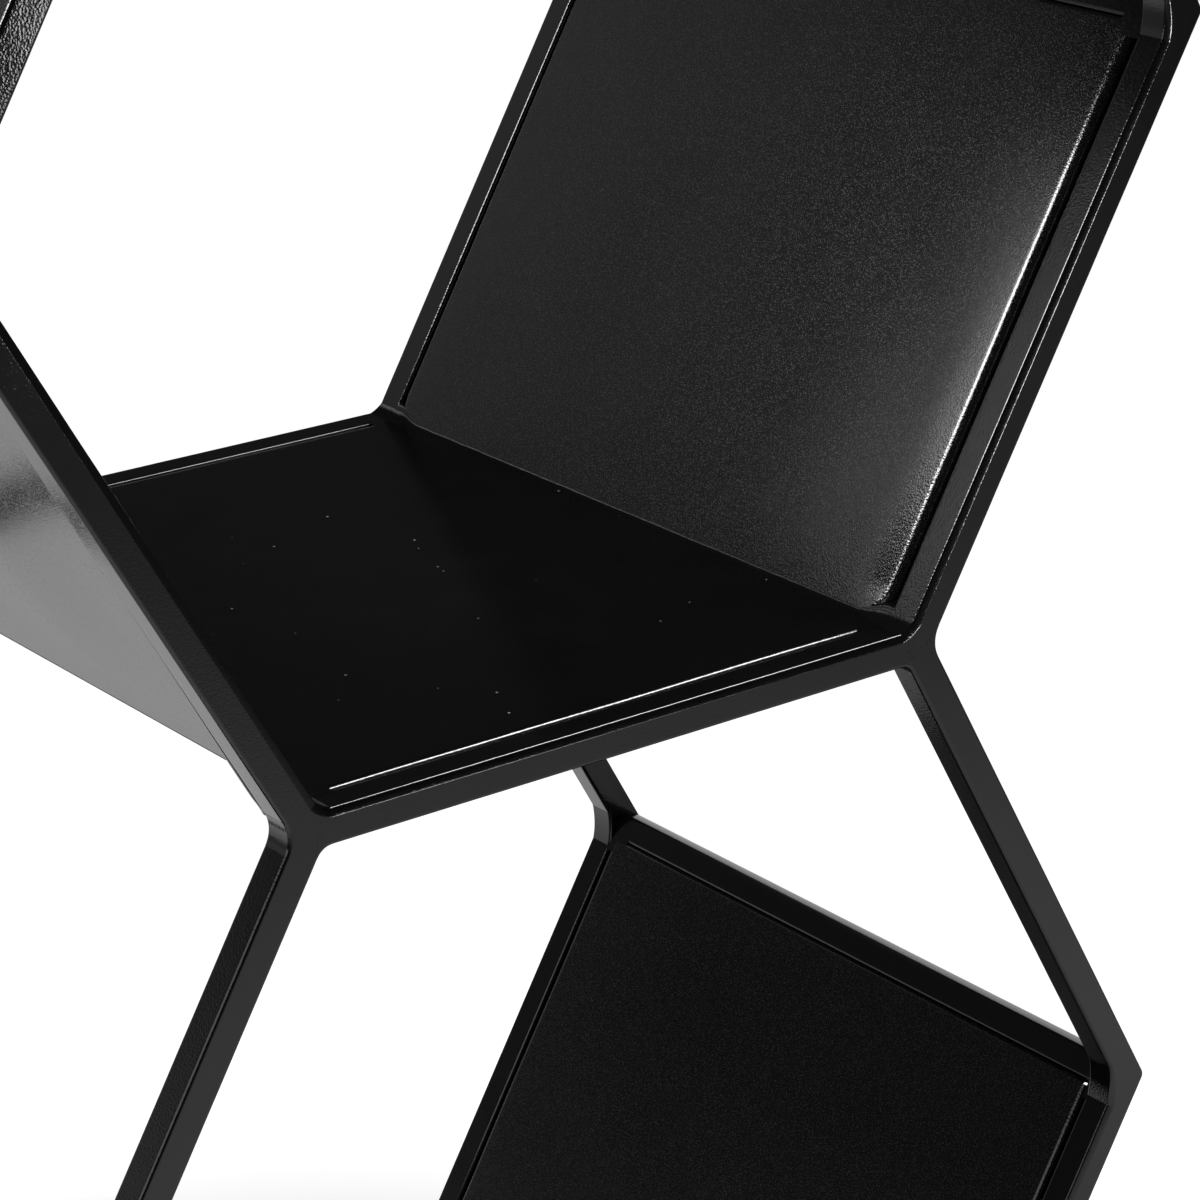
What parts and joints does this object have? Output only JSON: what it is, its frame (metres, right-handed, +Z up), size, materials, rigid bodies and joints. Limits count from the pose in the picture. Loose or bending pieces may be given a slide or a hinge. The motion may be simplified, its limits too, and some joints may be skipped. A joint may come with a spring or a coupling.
{
  "type": "hexagonal bookcase",
  "caption": "Open free-standing bookcase of stacked hexagonal cells: welded square-tube front and back frames with folded sheet shelves and sloping side panels.",
  "frame": {"origin": "floor level under the middle of the bookcase", "axes": "+Z up, +X to the right along the shelves, -Y out of the open front"},
  "size_m": [0.647, 0.41, 1.6038],
  "materials": {
    "frame_paint": "satin black powder coat",
    "sheet_paint": "satin black powder coat",
    "pad_rubber": "matt rubber"
  },
  "bodies": {
    "root": {"back_frame_welds": "frame_paint", "floor_pads": "pad_rubber", "front_frame_welds": "frame_paint", "seam_welds": "frame_paint", "tier1_back_left_lower_bar": "frame_paint", "tier1_back_left_upper_bar": "frame_paint", "tier1_back_right_lower_bar": "frame_paint", "tier1_back_right_upper_bar": "frame_paint", "tier1_back_shelf_bar": "frame_paint", "tier1_floor_sheet": "sheet_paint", "tier1_front_left_lower_bar": "frame_paint", "tier1_front_left_upper_bar": "frame_paint", "tier1_front_right_lower_bar": "frame_paint", "tier1_front_right_upper_bar": "frame_paint", "tier1_front_shelf_bar": "frame_paint", "tier1_left_cross_bar": "frame_paint", "tier1_left_sheet": "sheet_paint", "tier1_right_cross_bar": "frame_paint", "tier1_right_sheet": "sheet_paint", "tier2_back_left_lower_bar": "frame_paint", "tier2_back_left_upper_bar": "frame_paint", "tier2_back_right_lower_bar": "frame_paint", "tier2_back_right_upper_bar": "frame_paint", "tier2_back_shelf_bar": "frame_paint", "tier2_floor_sheet": "sheet_paint", "tier2_front_left_lower_bar": "frame_paint", "tier2_front_left_upper_bar": "frame_paint", "tier2_front_right_lower_bar": "frame_paint", "tier2_front_right_upper_bar": "frame_paint", "tier2_front_shelf_bar": "frame_paint", "tier2_left_cross_bar": "frame_paint", "tier2_left_sheet": "sheet_paint", "tier2_right_cross_bar": "frame_paint", "tier2_right_sheet": "sheet_paint", "tier3_back_left_lower_bar": "frame_paint", "tier3_back_left_upper_bar": "frame_paint", "tier3_back_right_lower_bar": "frame_paint", "tier3_back_right_upper_bar": "frame_paint", "tier3_back_shelf_bar": "frame_paint", "tier3_floor_sheet": "sheet_paint", "tier3_front_left_lower_bar": "frame_paint", "tier3_front_left_upper_bar": "frame_paint", "tier3_front_right_lower_bar": "frame_paint", "tier3_front_right_upper_bar": "frame_paint", "tier3_front_shelf_bar": "frame_paint", "tier3_left_cross_bar": "frame_paint", "tier3_left_sheet": "sheet_paint", "tier3_right_cross_bar": "frame_paint", "tier3_right_sheet": "sheet_paint", "top_back_shelf_bar": "frame_paint", "top_front_shelf_bar": "frame_paint", "top_sheet": "sheet_paint"}
  },
  "joints": []
}
